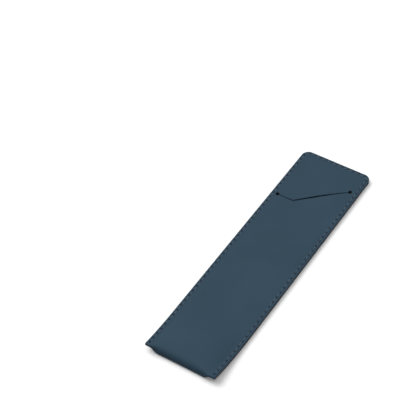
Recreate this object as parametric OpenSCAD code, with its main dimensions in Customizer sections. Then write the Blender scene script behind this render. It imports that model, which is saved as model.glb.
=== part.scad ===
// Single pen sleeve: one strip of coated leather, folded at the bottom and sewn on three sides.
// Its mouth is a bent slit across the front panel, which ends in two punched stop holes.
// It lies on its back panel, with the top edge towards +Y. Millimetres.

/* [Sleeve] */
// Length over all, from the ears at the fold to the top edge
sleeve_l = 155; // [145:1:175]
// Width over all
sleeve_w = 40; // [36:1:60]
// Radius of the two top corners
corner_r = 4; // [2.5:0.5:8]

/* [Leather] */
// Thickness of the coated face ply
face_t = 0.35; // [0.25:0.05:0.6]
// Thickness of the fabric backing bonded under it
backing_t = 0.5; // [0.3:0.05:0.7]

/* [Fold] */
// Height of the fold in its middle
fold_h = 5; // [5:0.25:7]
// How far back the front panel's round at the fold begins, in its middle
fold_round = 5.5; // [4:0.25:7]
// How far back the fold's underside reaches, in its middle
fold_under = 1.5; // [1.2:0.1:2.5]
// Height of the fold's tip over its underside, in its middle
fold_waist = 1.3; // [1.1:0.1:2]
// How far the middle of the fold stands back from the ears
fold_tuck = 0.2; // [0:0.1:1.5]
// Height that the sewn margins rise by at the fold
ear_lift = 2.7; // [0.5:0.1:2.8]
// Distance up the sleeve over which the margins come down again
ear_run = 40; // [25:1:45]
// Distance up from the fold's round over which the front panel comes down flat
bulge_run = 48; // [46:1:90]
// How far each side is drawn in at the fold
side_draw = 0.5; // [0:0.1:0.8]

/* [Margin and seam] */
// Width of the margin in which both panels are pressed together
margin_w = 3; // [2.6:0.1:4]
// Width over which the back panel steps up to the margin
back_step = 4; // [2:0.25:5]
// Glue line between the two panels in the margin
glue_t = 0.1; // [0.06:0.02:0.2]
// Distance of the seam from the edge
seam_inset = 1.6; // [1.2:0.1:2]
// Distance of the first and last needle holes from the ends of the ears
seam_start = 2.5; // [1.4:0.1:4]
// Length of the short locking stitch at each end of the seam
lock_stitch = 3; // [1.5:0.1:3.5]
// Stitch length up the sides
stitch = 3.55; // [2.5:0.05:5]
// Stitch length round the corners and across the top
top_stitch = 3.3; // [2.5:0.1:4]
// Thread diameter
thread_d = 0.55; // [0.4:0.05:0.7]
// How far a stitch stands proud of the leather
thread_proud = 0.3; // [0.2:0.05:0.35]
// Clearance of the back stitches above the surface that the sleeve lies on
rest_gap = 0.05; // [0.02:0.01:0.2]

/* [Mouth] */
// Diameter of the punched stop holes
stop_hole_d = 2; // [1.2:0.1:2.2]
// Centre of the left stop hole from the left edge
left_hole_in = 3.6; // [3.2:0.1:6]
// Centre of the left stop hole from the top edge
left_hole_down = 36; // [32:0.1:40]
// Knee of the slit from the left edge
knee_in = 12.7; // [10:0.1:16]
// Knee of the slit from the top edge
knee_down = 35.8; // [32:0.1:40]
// Centre of the right stop hole from the right edge
right_hole_in = 4.6; // [3.5:0.1:8]
// Centre of the right stop hole from the top edge
right_hole_down = 15.4; // [12:0.1:18]
// Gap between the lips where it is widest
slit_gap = 0.85; // [0.4:0.05:1.2]
// Gap between the lips at the stop holes
slit_end_gap = 0.3; // [0.2:0.05:0.4]
// Height of the bow in the slit's long leg
slit_bow = 0.7; // [0:0.1:1]
// Length of the slit's rounded knee, along each leg
knee_round = 0.8; // [0.5:0.1:3]
// Least width of the tongue: where the slit runs nearer to the line of the holes, its lip stays put
tongue_least = 1.1; // [0.9:0.1:1.6]

/* [Hidden] */

leather_colour = [0.27, 0.38, 0.47];
backing_colour = [0.16, 0.15, 0.17];
thread_colour = [0.25, 0.36, 0.47];

sheet_t = face_t + backing_t;
edge_t = 2 * sheet_t + glue_t;
seam_lift = thread_proud + rest_gap;
flat_top = seam_lift + edge_t;
panel_half = sleeve_w / 2 - margin_w;
flat_half = panel_half - back_step;
seam_r = corner_r - seam_inset;
ear_round = edge_t / 2;

// Steps of the grid on which the sheet is worked out
flat_steps = 3;
step_steps = 3;
bulge_steps = 13;
fold_steps = 8;
corner_steps = 5;
bulge_spread = 1.7;

// Shape of the thread: faces round it, and how deep it dips at a needle hole
thread_sides = 6;
dip_share = 0.2;
dip_longest = 0.7;
dip_depth = 0.25;
lock_gap = 0.02;
lip_points = 24;
overcut = 1;

// One at the fold, and it dies out along the sleeve
function dies_out(part, power) = pow(1 - min(max(part, 0), 1), power);

// One at the fold, where it is level, and it dies out along the sleeve with a long tail
function swell(part) = let (p = min(max(part, 0), 1)) pow(1 - p, 3) * (1 + 3 * p);

// Smooth step from 0 to 1
function smooth(part) = let (p = min(max(part, 0), 1)) p * p * (3 - 2 * p);

// Half width of the sleeve at y, drawn in at the fold and rounded at the top corners
function corner_in(y) =
    let (up = y - (sleeve_l - corner_r))
    up <= 0 ? 0 : corner_r - sqrt(max(0, pow(corner_r, 2) - pow(up, 2)));
function drawn_in(y) = side_draw * dies_out(y / ear_run, 2);
function half_w(y) = sleeve_w / 2 - drawn_in(y) - corner_in(y);

// Crown of the panel between the margins: 1 in the middle, 0 in the margins
function crown(x) = 1 - pow(min(abs(x) / panel_half, 1), 2);

// Step of the back panel up to the margins at the sides and along the top
function side_step(x) = smooth((abs(x) - flat_half) / (panel_half - flat_half));
function top_step(y) = smooth((y - (sleeve_l - margin_w - back_step)) / back_step);
function back_rise(x, y) = 1 - (1 - side_step(x)) * (1 - top_step(y));

// Height that the margins are lifted by at y
function ear_rise(y) = ear_lift * dies_out(y / ear_run, 3);

// Top surface of the front panel, and bottom surface of the back panel
function margin_top(y) = flat_top + ear_rise(y);
function middle_top(y) = flat_top + (fold_h - flat_top) * swell((y - fold_tuck - fold_round) / bulge_run);
function front_z(x, y) = margin_top(y) + (middle_top(y) - margin_top(y)) * crown(x);
function back_z(x, y) = (seam_lift + ear_rise(y)) * back_rise(x, y);

// The fold across the sleeve: its tip, and from there how far back its round and its underside begin.
// Its middle's sizes go over to half the edge in the margins, and the round's with the crown.
function across_fold(x, middle) = ear_round + (middle - ear_round) * (1 - side_step(x));
function fold_tip(x) = fold_tuck * crown(x);
function round_depth(x) = ear_round + (fold_round - ear_round) * crown(x);
function under_depth(x) = across_fold(x, fold_under);
function waist(x) = across_fold(x, fold_waist);

// Columns of the grid, as distances from the middle at the sleeve's full width
half_columns = concat(
    [for (i = [0 : flat_steps - 1]) flat_half * i / flat_steps],
    [for (i = [0 : step_steps]) flat_half + back_step * i / step_steps],
    [sleeve_w / 2]);
columns = concat(
    [for (i = [len(half_columns) - 1 : -1 : 1]) -half_columns[i]],
    half_columns);

// Numbers from the highest to the lowest, each once
function falling(numbers) =
    len(numbers) == 0 ? []
    : let (first = numbers[0])
        concat(falling([for (n = numbers) if (n > first) n]), [first], falling([for (n = numbers) if (n < first) n]));

// Rows of a panel from the top edge down to the fold: round the corners, down the step, along the bulge
corner_rows = [for (i = [0 : corner_steps])
    sleeve_l - corner_r + corner_r * cos(90 * i / corner_steps)];
top_rows = [for (part = [0, 0.5, 1]) sleeve_l - margin_w - back_step * part];
bulge_rows = [for (i = [0 : bulge_steps]) (bulge_run + fold_round) * pow(1 - i / bulge_steps, bulge_spread)];
panel_rows = falling(concat(corner_rows, top_rows, bulge_rows));

// Column x at height y: columns outside the panel follow the outline
function column_x(x, y) =
    abs(x) <= flat_half ? x
    : sign(x) * (flat_half + (abs(x) - flat_half) * (half_w(y) - flat_half) / (sleeve_w / 2 - flat_half));

// A row's y is measured from where the fold begins, so every column's last row lies there
function row_y(x, y, reach) = y + (fold_tip(x) + reach) * dies_out(y / (bulge_run + fold_round), 2);

// A point of the sheet at a depth under its outer surface, on the front panel, the fold or the back panel.
// Seen from the side, the fold is two quarters of ellipses that meet upright at its tip.
function front_point(x, y, depth) =
    let (v = row_y(x, y, round_depth(x)), u = column_x(x, v)) [u, v, front_z(x, v) - depth];
function back_point(x, y, depth) =
    let (v = row_y(x, y, under_depth(x)), u = column_x(x, v)) [u, v, back_z(x, v) + depth];
function fold_point(x, turn, depth) =
    let (over = turn <= 90,
         reach = over ? round_depth(x) : under_depth(x),
         v = fold_tip(x) + reach,
         low = back_z(x, fold_tip(x) + under_depth(x)),
         tip_z = low + waist(x),
         far_z = over ? front_z(x, v) - depth : 2 * tip_z - low - depth)
    [column_x(x, v),
     v - (reach - depth) * sin(turn),
     tip_z + (far_z - tip_z) * cos(turn)];

// Rows of points from the front panel's top edge, round the fold, to the back panel's top edge
function sheet_rows(depth) = concat(
    [for (y = panel_rows) [for (x = columns) front_point(x, y, depth)]],
    [for (i = [1 : fold_steps - 1]) [for (x = columns) fold_point(x, 180 * i / fold_steps, depth)]],
    [for (i = [len(panel_rows) - 1 : -1 : 0]) [for (x = columns) back_point(x, panel_rows[i], depth)]]);

function flatten(lists) = [for (l = lists) for (item = l) item];

// A ply of the folded sheet between two depths under its outer surface, as one closed skin
module ply(depth_a, depth_b) {
    rows = len(panel_rows) * 2 + fold_steps - 1;
    cols = len(columns);
    count = rows * cols;
    function at(r, c, side) = side * count + r * cols + c;
    points = flatten(concat(sheet_rows(depth_a), sheet_rows(depth_b)));
    skins = [for (r = [0 : rows - 2]) for (c = [0 : cols - 2])
        for (face = [
            [at(r, c, 0), at(r, c + 1, 0), at(r + 1, c, 0)],
            [at(r, c + 1, 0), at(r + 1, c + 1, 0), at(r + 1, c, 0)],
            [at(r, c, 1), at(r + 1, c, 1), at(r, c + 1, 1)],
            [at(r, c + 1, 1), at(r + 1, c, 1), at(r + 1, c + 1, 1)]])
        face];
    sides = [for (r = [0 : rows - 2])
        for (face = [
            [at(r, 0, 0), at(r + 1, 0, 0), at(r, 0, 1)],
            [at(r + 1, 0, 0), at(r + 1, 0, 1), at(r, 0, 1)],
            [at(r, cols - 1, 0), at(r, cols - 1, 1), at(r + 1, cols - 1, 0)],
            [at(r + 1, cols - 1, 0), at(r, cols - 1, 1), at(r + 1, cols - 1, 1)]])
        face];
    ends = [for (c = [0 : cols - 2])
        for (face = [
            [at(0, c, 0), at(0, c, 1), at(0, c + 1, 0)],
            [at(0, c + 1, 0), at(0, c, 1), at(0, c + 1, 1)],
            [at(rows - 1, c, 0), at(rows - 1, c + 1, 0), at(rows - 1, c, 1)],
            [at(rows - 1, c + 1, 0), at(rows - 1, c + 1, 1), at(rows - 1, c, 1)]])
        face];
    polyhedron(points = points, faces = concat(skins, sides, ends), convexity = 6);
}

// Places on the front panel, measured from the edges
left_hole = [-sleeve_w / 2 + left_hole_in, sleeve_l - left_hole_down];
right_hole = [sleeve_w / 2 - right_hole_in, sleeve_l - right_hole_down];
knee = [-sleeve_w / 2 + knee_in, sleeve_l - knee_down];

function unit(v) = v / norm(v);
function left_of(v) = [-v.y, v.x];

// Line of the slit: a straight short leg, a rounded knee and a bowed long leg
knee_a = knee + knee_round * unit(left_hole - knee);
knee_b = knee + knee_round * unit(right_hole - knee);
function knee_point(part) =
    pow(1 - part, 2) * knee_a + 2 * part * (1 - part) * knee + pow(part, 2) * knee_b;
function long_leg_point(part) =
    knee_b + part * (right_hole - knee_b)
    + slit_bow * sin(180 * part) * left_of(unit(right_hole - knee_b));
slit_line = concat(
    [left_hole, (left_hole + knee_a) / 2],
    [for (i = [0 : 4]) knee_point(i / 4)],
    [for (i = [1 : lip_points / 2]) long_leg_point(i / (lip_points / 2))]);

// The upper lip is the slit's own line, and the lower lip hangs away from it, most near the middle
chord = right_hole - left_hole;
function along_chord(p) = (p - left_hole) * chord / (chord * chord);
function gap_at(p) =
    slit_end_gap + (slit_gap - slit_end_gap) * pow(sin(180 * along_chord(p)), 2);
function slit_normal(i) =
    left_of(unit(slit_line[min(i + 1, len(slit_line) - 1)] - slit_line[max(i - 1, 0)]));
lower_lip = [for (i = [0 : len(slit_line) - 1])
    slit_line[i] - gap_at(slit_line[i]) * slit_normal(i)];

// The tongue is the leather between the upper lip and the line that joins the stop holes, as far as
// it is wide enough to lift
function foot_on_chord(p) = left_hole + along_chord(p) * chord;
function tongue_width(p) = norm(p - foot_on_chord(p));
tongue_lip = [for (p = slit_line) if (tongue_width(p) >= tongue_least) p];
tongue_foot = [foot_on_chord(tongue_lip[0]), foot_on_chord(tongue_lip[len(tongue_lip) - 1])];
module tongue_outline() polygon(concat([tongue_foot[0]], tongue_lip, [tongue_foot[1]]));

// The slit between the two lips
function backwards(list) = [for (i = [len(list) - 1 : -1 : 0]) list[i]];
module slit_outline() polygon(concat(slit_line, backwards(lower_lip)));

// Cuts through the front panel alone end inside the glue line, above the back panel
under_cut = glue_t / 2;
cut_bottom = flat_top - sheet_t - under_cut;
cut_h = under_cut + sheet_t + overcut;

module stop_holes() {
    for (p = [left_hole, right_hole])
        translate([p.x, p.y, cut_bottom]) cylinder(d = stop_hole_d, h = cut_h, $fn = 48);
}

// A ply with its mouth cut out, and the tongue that fills it but for the slit
module ply_with_mouth(depth_a, depth_b) {
    difference() {
        ply(depth_a, depth_b);
        translate([0, 0, cut_bottom]) linear_extrude(cut_h) {
            slit_outline();
            tongue_outline();
        }
        stop_holes();
    }
}

module tongue_ply(depth_a, depth_b) {
    difference() {
        translate([0, 0, flat_top - depth_b]) linear_extrude(depth_b - depth_a) tongue_outline();
        stop_holes();
    }
}

// The seam: up the left side, round both top corners and down the right side
side_run = sleeve_l - corner_r - seam_start;
arc_run = seam_r * PI / 2;
top_run = sleeve_w - 2 * corner_r;
seam_run = 2 * side_run + 2 * arc_run + top_run;

// Point of the seam and its direction, at a distance along it, before the sides are drawn in
function seam_flat(s) =
    s < side_run ? [-sleeve_w / 2 + seam_inset, seam_start + s, 90]
    : s < side_run + arc_run ?
        let (a = (s - side_run) / seam_r * 180 / PI)
        [-sleeve_w / 2 + corner_r - seam_r * cos(a), sleeve_l - corner_r + seam_r * sin(a), 90 - a]
    : s < side_run + arc_run + top_run ?
        [-sleeve_w / 2 + corner_r + s - side_run - arc_run, sleeve_l - seam_inset, 0]
    : s < side_run + 2 * arc_run + top_run ?
        let (a = (s - side_run - arc_run - top_run) / seam_r * 180 / PI)
        [sleeve_w / 2 - corner_r + seam_r * sin(a), sleeve_l - corner_r + seam_r * cos(a), -a]
    : [sleeve_w / 2 - seam_inset, seam_start + seam_run - s, -90];
function seam_at(s) =
    let (p = seam_flat(s)) [p.x - sign(p.x) * drawn_in(p.y), p.y, p.z];

// Needle holes: a lock stitch, even stitches up the side, round the top, down the side, a lock stitch
side_count = round((side_run - lock_stitch) / stitch);
round_count = round((seam_run - 2 * side_run) / top_stitch);
function spread(from, to, count) = [for (i = [1 : count]) from + (to - from) * i / count];
holes = concat(
    [0, lock_stitch],
    spread(lock_stitch, side_run, side_count),
    spread(side_run, seam_run - side_run, round_count),
    spread(seam_run - side_run, seam_run - lock_stitch, side_count),
    [seam_run]);

// Sections of the thread: [distance along the seam, is it down in a needle hole]
function dip(a, b) = min(dip_longest, dip_share * (b - a));
sections = concat(
    [[0, true]],
    [for (i = [0 : len(holes) - 2])
        for (section = [
            [holes[i] + dip(holes[i], holes[i + 1]), false],
            [holes[i + 1] - dip(holes[i], holes[i + 1]), false],
            [holes[i + 1], true]])
        section]);

// Height of a section's middle and its half height, over the leather's surface
bar_middle = thread_proud - thread_d / 2;
post_top = -dip_depth;
post_bottom = -(edge_t / 2 - lock_gap);
function section_middle(down) = down ? (post_top + post_bottom) / 2 : bar_middle;
function section_half(down) = down ? (post_top - post_bottom) / 2 : thread_d / 2;

// One unbroken thread along the seam, over the front margin (side 1) or under the back margin (side -1)
module thread(side) {
    rings = [for (section = sections)
        let (p = seam_at(section[0]),
             across = [-sin(p.z), cos(p.z)],
             surface = side > 0 ? margin_top(p.y) : margin_top(p.y) - edge_t)
        [for (k = [0 : thread_sides - 1])
            let (turn = 360 * k / thread_sides,
                 out = thread_d / 2 * cos(turn),
                 up = section_middle(section[1]) + section_half(section[1]) * sin(turn) / cos(180 / thread_sides))
            [p.x + across.x * out, p.y + across.y * out, surface + side * up]]];
    last = len(rings) - 1;
    function ring_at(r, k) = r * thread_sides + (k % thread_sides);
    walls = [for (r = [0 : last - 1]) for (k = [0 : thread_sides - 1])
        for (face = [
            [ring_at(r, k), ring_at(r, k + 1), ring_at(r + 1, k)],
            [ring_at(r, k + 1), ring_at(r + 1, k + 1), ring_at(r + 1, k)]])
        side < 0 ? face : [face[2], face[1], face[0]]];
    cap = [for (k = [0 : thread_sides - 1]) k];
    start_cap = side < 0 ? [for (k = cap) ring_at(0, thread_sides - 1 - k)] : [for (k = cap) ring_at(0, k)];
    end_cap = side < 0 ? [for (k = cap) ring_at(last, k)] : [for (k = cap) ring_at(last, thread_sides - 1 - k)];
    polyhedron(points = flatten(rings), faces = concat([start_cap], walls, [end_cap]), convexity = 10);
}

// The origin lies under the middle of the sleeve, on the surface that it lies on
module placed() translate([0, -sleeve_l / 2, 0]) children();

module outer_leather() color(leather_colour) placed() ply_with_mouth(0, face_t);

module inner_backing() color(backing_colour) placed() ply_with_mouth(face_t, sheet_t);

module tongue_leather() color(leather_colour) placed() tongue_ply(0, face_t);

module tongue_backing() color(backing_colour) placed() tongue_ply(face_t, sheet_t);

module needle_thread() color(thread_colour) placed() thread(1);

module bobbin_thread() color(thread_colour) placed() thread(-1);

outer_leather();
inner_backing();
tongue_leather();
tongue_backing();
needle_thread();
bobbin_thread();
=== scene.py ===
"""Single pen sleeve: a folded and sewn strip of coated leather, dressed over its fixed frame."""

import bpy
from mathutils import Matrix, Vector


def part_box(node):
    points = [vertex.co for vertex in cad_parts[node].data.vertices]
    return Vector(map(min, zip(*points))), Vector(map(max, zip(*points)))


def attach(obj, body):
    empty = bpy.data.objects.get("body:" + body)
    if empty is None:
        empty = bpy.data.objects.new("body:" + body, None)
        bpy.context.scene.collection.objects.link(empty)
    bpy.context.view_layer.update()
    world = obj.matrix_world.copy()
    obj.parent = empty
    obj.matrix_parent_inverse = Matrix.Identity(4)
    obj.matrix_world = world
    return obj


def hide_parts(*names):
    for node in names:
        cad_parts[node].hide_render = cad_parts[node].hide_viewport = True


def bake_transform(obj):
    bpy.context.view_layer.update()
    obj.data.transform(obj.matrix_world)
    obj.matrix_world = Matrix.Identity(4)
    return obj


bl_info = {
    "name": "Single Pen Sleeve",
    "version": (1, 0, 0),
    "blender": (4, 5, 0),
    "location": "View3D > Sidebar > Pen Sleeve",
    "description": "Builds a folded and sewn leather pen sleeve, its floor, its light and its camera",
    "category": "Add Mesh",
}

import math

import bmesh
import bpy
import numpy as np
from bpy.props import FloatProperty, FloatVectorProperty, PointerProperty
from mathutils import Quaternion, Vector

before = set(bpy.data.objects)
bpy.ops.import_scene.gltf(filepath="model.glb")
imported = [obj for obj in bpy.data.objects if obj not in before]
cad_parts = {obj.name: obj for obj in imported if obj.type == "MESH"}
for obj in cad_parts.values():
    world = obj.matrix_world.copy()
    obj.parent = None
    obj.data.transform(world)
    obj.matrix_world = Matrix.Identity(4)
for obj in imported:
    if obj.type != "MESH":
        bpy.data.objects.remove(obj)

MM = 0.001
LEATHER_LOW, LEATHER_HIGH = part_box("outer_leather")

# Places across the seam band, from the cut edge inwards, and places along one stitch
BAND_ACROSS = np.array([0, 0.05, 0.13, 0.25, 0.45, 0.75, 1.05, 1.25, 1.4, 1.5, 1.6, 1.7, 1.8, 1.95]) * MM
STITCH_PARTS = np.array([0, 0.04, 0.08, 0.16, 0.3, 0.5, 0.7, 0.84, 0.92, 0.96])
PANEL_INSET = 2.15 * MM

# Steps of the grids
LIP_STEPS = 60
LEG_STEPS = 24
KNEE_STEPS = 16
LONG_STEPS = 80
HOLE_STEPS = 10
RIGHT_STEPS = 3
LEAD_STEPS = 5
LOWER_ROWS = 72
UPPER_ROWS = 24
BACK_ROWS = 72
HIDDEN_ROWS = 24
FOLD_STEPS = 36
TONGUE_ROWS = 12
WELD = 1.2e-6
SHARP = math.radians(40)

# How rows crowd towards the fold and the mouth, and how long they keep the fold's own shape
CROWDING = 0.75
BACK_CROWDING = 1.6
FOLD_BEND = 3.0

# Rows beside the lips, in the panel and in the tongue, and the width over which a lip is rolled down
LIP_ROWS = np.array([0.05, 0.15, 0.3]) * MM
TONGUE_PARTS = np.array([0, 0.015, 0.04, 0.08])
TONGUE_REST = 0.14
LIP_ROLL_WIDTH = 0.3 * MM

# Painted shade along the cut edge and on the lips of the slit, and how far the cut edge's painted shade
# reaches
CUT_SHADE = 0.3
LIP_SHADE = 0.6
CUT_REACH = 0.12 * MM

# Needle holes: the dip's power and its painted shade, the pull's radius, and where both end in the band
# and along the seam
DIP_POWER = 1.3
DIP_SHADE = 2.0
PULL_RADIUS = 0.75 * MM
DIP_LIMIT = 2.0 * MM
DIP_FADE = 0.35 * MM
SEAM_FADE = 0.4 * MM
DEEPEST = 0.9

# Rings along a stitch, sides round it, and how fast painted shade darkens it into the needle hole
RINGS = np.array([-1, -0.96, -0.86, -0.67, -0.36, 0, 0.36, 0.67, 0.86, 0.96, 1])
THREAD_SIDES = 6
END_SHADE = 1.4

# Features of the noises to the metre, and depths of the bumps
BROAD = 28.0
CLOUD = 140.0
STRANDS = 1500.0
FUZZ = 5200.0
FIBRE = 9000.0
CLOUD_DEPTH = 0.05 * MM
FUZZ_DEPTH = 0.06 * MM
FIBRE_DEPTH = 0.02 * MM
RIDGE_DEPTH = 0.08 * MM

# How far the clouds change the leather's colour and gloss, the thread's strands, and plain white
COLOUR_SPREAD = 0.35
GLOSS_SPREAD = 0.18
STRAND_COUNT = 3.0
WHITE = (1.0, 1.0, 1.0)


def measure(about, usual, least, most):
    """A length, given in millimetres."""
    return FloatProperty(description=about, default=usual * MM, min=least * MM, max=most * MM,
                         unit="LENGTH", precision=6)


def number(about, usual, least, most, kind="NONE"):
    """A plain number."""
    return FloatProperty(description=about, default=usual, min=least, max=most, subtype=kind)


def share(about, usual):
    """A part between nothing and all."""
    return number(about, usual, 0.0, 1.0, "FACTOR")


def angle(about, usual, least, most):
    """An angle, given in degrees."""
    return number(about, math.radians(usual), math.radians(least), math.radians(most), "ANGLE")


def tint(about, *usual):
    """A colour."""
    return FloatVectorProperty(description=about, default=usual, size=3, min=0.0, max=1.0,
                               subtype="COLOR")


def spot(about, *usual):
    """A place, given in metres."""
    return FloatVectorProperty(description=about, default=usual, size=3, precision=4,
                               subtype="TRANSLATION", unit="LENGTH")


class PenSleeveForm(bpy.types.PropertyGroup):
    """Sizes of the leather strip and of its fold."""

    length: measure("From the ears at the fold to the top edge",
                    (LEATHER_HIGH.y - LEATHER_LOW.y) / MM, 140, 180)
    width: measure("Over both cut edges", (LEATHER_HIGH.x - LEATHER_LOW.x) / MM, 34, 60)
    corner_radius: measure("Radius of the two top corners", 4, 2.5, 8)
    face_thickness: measure("Thickness of the coated face ply", 0.35, 0.25, 0.6)
    backing_thickness: measure("Thickness of the fabric under the face", 0.5, 0.3, 0.7)
    glue_line: measure("Between the two panels in the margin", 0.1, 0.06, 0.2)
    fold_height: measure("Height of the fold in its middle", 5, 4.5, 7)
    fold_round: measure("How far back the round over the fold begins", 5.5, 4, 7)
    fold_under: measure("How far back the fold's underside reaches", 1.5, 1.2, 2.5)
    fold_waist: measure("Height of the fold's tip over its underside", 1.3, 1.1, 2)
    fold_fullness: number("Power of the round: 2 is an ellipse, more is squarer", 2.6, 1.6, 3)
    fold_tuck: measure("How far the fold's middle stands back from the ears", 0.2, 0, 1.5)
    ear_lift: measure("Height that the sewn margins rise by at the fold", 2.7, 0.5, 3)
    ear_run: measure("Distance up the sleeve over which the margins come down", 40, 25, 60)
    bulge_run: measure("Distance over which the panel comes down from the round", 38, 30, 90)
    side_draw: measure("How far each side is drawn in at the fold", 0.5, 0, 0.8)
    margin: measure("Width in which both panels are pressed together", 3, 3, 4)
    back_step: measure("Width over which the back panel steps up to the margin", 4, 2, 5)
    crease_softness: measure("Half the width of the turn into the margin", 0.65, 0.1, 0.65)
    edge_roll: measure("How far the cut edge of the face ply is rolled down", 0.14, 0, 0.3)
    edge_roll_width: measure("Width of the rolled edge", 0.6, 0.1, 1)


class PenSleeveMouth(bpy.types.PropertyGroup):
    """Places and sizes of the slit and its two stop holes."""

    hole_diameter: measure("Diameter of the two punched stop holes", 2, 1.2, 2.2)
    left_hole_in: measure("Left stop hole from the left edge", 3.6, 3, 6)
    left_hole_down: measure("Left stop hole from the top edge", 36, 32, 40)
    knee_in: measure("Knee of the slit from the left edge", 12.7, 10, 16)
    knee_down: measure("Knee of the slit from the top edge", 35.8, 32, 40)
    right_hole_in: measure("Right stop hole from the right edge", 4.6, 3.5, 8)
    right_hole_down: measure("Right stop hole from the top edge", 15.4, 12, 18)
    gap: measure("Gap between the lips where it is widest", 0.85, 0.4, 1.2)
    end_gap: measure("Gap between the lips at the stop holes", 0.3, 0.2, 0.4)
    bow: measure("Height of the bow in the slit's long leg", 0.7, 0, 1)
    knee_round: measure("Length of the rounded knee along each leg", 0.8, 0.5, 3)
    lip_roll: measure("How far the lips of the slit are rolled down", 0.1, 0, 0.3)
    curl: measure("Width at the tongue's root over which it bends as it lifts", 2.4, 1, 4)


class PenSleeveSeam(bpy.types.PropertyGroup):
    """Sizes of the seam, its stitches and its needle holes."""

    inset: measure("Distance of the seam from the cut edge", 1.6, 1.2, 2)
    start: measure("First and last needle holes from the ends of the ears", 2.5, 1.4, 4)
    lock_stitch: measure("Short stitch at each end of the seam", 3, 1.5, 3.5)
    side_stitch: measure("Stitch length up the sides", 3.55, 2.5, 5)
    top_stitch: measure("Stitch length round the corners and the top", 3.3, 2.5, 4)
    thread: measure("Thread diameter", 0.55, 0.4, 0.7)
    proud: measure("How far a stitch stands proud of the leather", 0.3, 0.2, 0.35)
    bed: measure("How far the pulled thread has sunk into the leather", 0.1, 0, 0.2)
    rest_gap: measure("Clearance of the back stitches above the floor", 0.05, 0.02, 0.2)
    slant: measure("How far a stitch leans across the seam", 0.12, 0, 0.3)
    sink: measure("How deep a stitch dips at its needle holes", 0.75, 0.4, 0.8)
    arch: number("Power of a stitch's arch: 2 is half an ellipse, more is flatter", 2.3, 2, 6)
    # Painted shade: from here to its ends the stitch is darkened where it dives into the needle hole
    ends: number("Part of half a stitch from which it darkens", 0.55, 0.3, 0.9)
    hole_radius: measure("Radius of the dip at a needle hole", 0.62, 0.1, 0.7)
    hole_depth: measure("Depth of the dip at a needle hole", 0.29, 0, 0.3)
    pucker: measure("Depth of the wide pull round a needle hole", 0.07, 0, 0.1)


class PenSleeveFinish(bpy.types.PropertyGroup):
    """Colours and surface of the leather, the backing and the thread."""

    face: tint("Colour of the coated face", 0.0315, 0.062, 0.092)
    # Painted shade: needle holes, slit lips, cut edges and stitch ends are mixed towards this colour
    painted_shade_colour: tint("Colour in the needle holes and along the cut", 0.005, 0.014, 0.032)
    backing: tint("Colour of the fleece in the cut edge", 0.068, 0.052, 0.060)
    # Painted shade: the fleece inside the pocket, in the slit and under the tongue takes this near-black
    # colour
    pocket: tint("Colour of the fleece inside the pocket", 0.006, 0.008, 0.012)
    thread: tint("Colour of the thread", 0.046, 0.092, 0.136)
    grain: measure("Width of one grain of the leather", 0.5, 0.2, 2)
    grain_depth: measure("Depth of the grain", 0.012, 0, 0.1)
    roughness: share("Roughness of the coated face", 0.5)
    twist: measure("Length of one turn of the thread's three strands", 1.5, 0.5, 4)


class PenSleeveStage(bpy.types.PropertyGroup):
    """Floor, light and camera. An azimuth turns from +Y towards -X, and an elevation is a height above
    the floor."""

    camera_place: spot("Where the camera stands", 0.2381, -0.4073, 0.5470)
    camera_aim: spot("Point of the floor in the middle of the picture", -0.0415, 0.0151, 0.0)
    camera_roll: angle("Turn of the camera about its line of sight", -1.66, -12, 12)
    lens: number("Focal length for a 36 mm picture, in millimetres", 123.1, 20, 300)
    floor_size: measure("Side of the square floor", 6000, 500, 20000)
    floor_white: share("Colour of the floor as it is seen", 0.97)
    floor_bounce: share("How much light the floor throws back on the sleeve", 0.25)
    floor_fill: share("Glow that only the camera sees on the floor", 0.12)
    sky: number("Strength of the light from all round, where it is strongest", 0.88, 0, 4)
    sky_lean: share("How much of the sky falls off towards the other side", 1.0)
    sky_focus: number("Power with which the sky falls off", 2, 1, 8)
    sky_azimuth: angle("Direction that the sky is stronger in", 20, -360, 360)
    sky_elevation: angle("Height of the sky's stronger part", 60, 0, 90)
    key: number("Strength of the large soft lamp", 2.05, 0, 20)
    key_softness: angle("Width of the lamp as seen from the sleeve", 50, 0, 178)
    key_azimuth: angle("Direction that the lamp stands in", 84, -360, 360)
    key_elevation: angle("Height of the lamp", 46, 0, 90)


def even(steps):
    """Even parts from 0 to 1."""
    return np.linspace(0, 1, steps + 1)


def dies_out(part, power):
    """One at 0 and nothing from 1 on: one less the part, to a power."""
    return (1.0 - np.clip(part, 0.0, 1.0)) ** power


def swell(part):
    """One at 0, where it is level, and nothing from 1 on: one less the part, cubed, times one and three
    times the part."""
    p = np.clip(part, 0.0, 1.0)
    return (1.0 - p) ** 3 * (1.0 + 3.0 * p)


def smooth(part):
    """Soft step from 0 to 1: three times the square less twice the cube."""
    p = np.clip(part, 0.0, 1.0)
    return p * p * (3.0 - 2.0 * p)


def unit(vector):
    """The vector, or each of several, over its own length."""
    return vector / np.linalg.norm(vector, axis=-1, keepdims=True)


def left_of(vector):
    """The vector turned a quarter to the left, in plan."""
    return np.stack([-vector[..., 1], vector[..., 0]], axis=-1)


def towards(azimuth, elevation):
    """Direction in space from an azimuth and an elevation."""
    flat = math.cos(elevation)
    return Vector((-math.sin(azimuth) * flat, math.cos(azimuth) * flat, math.sin(elevation)))


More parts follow.
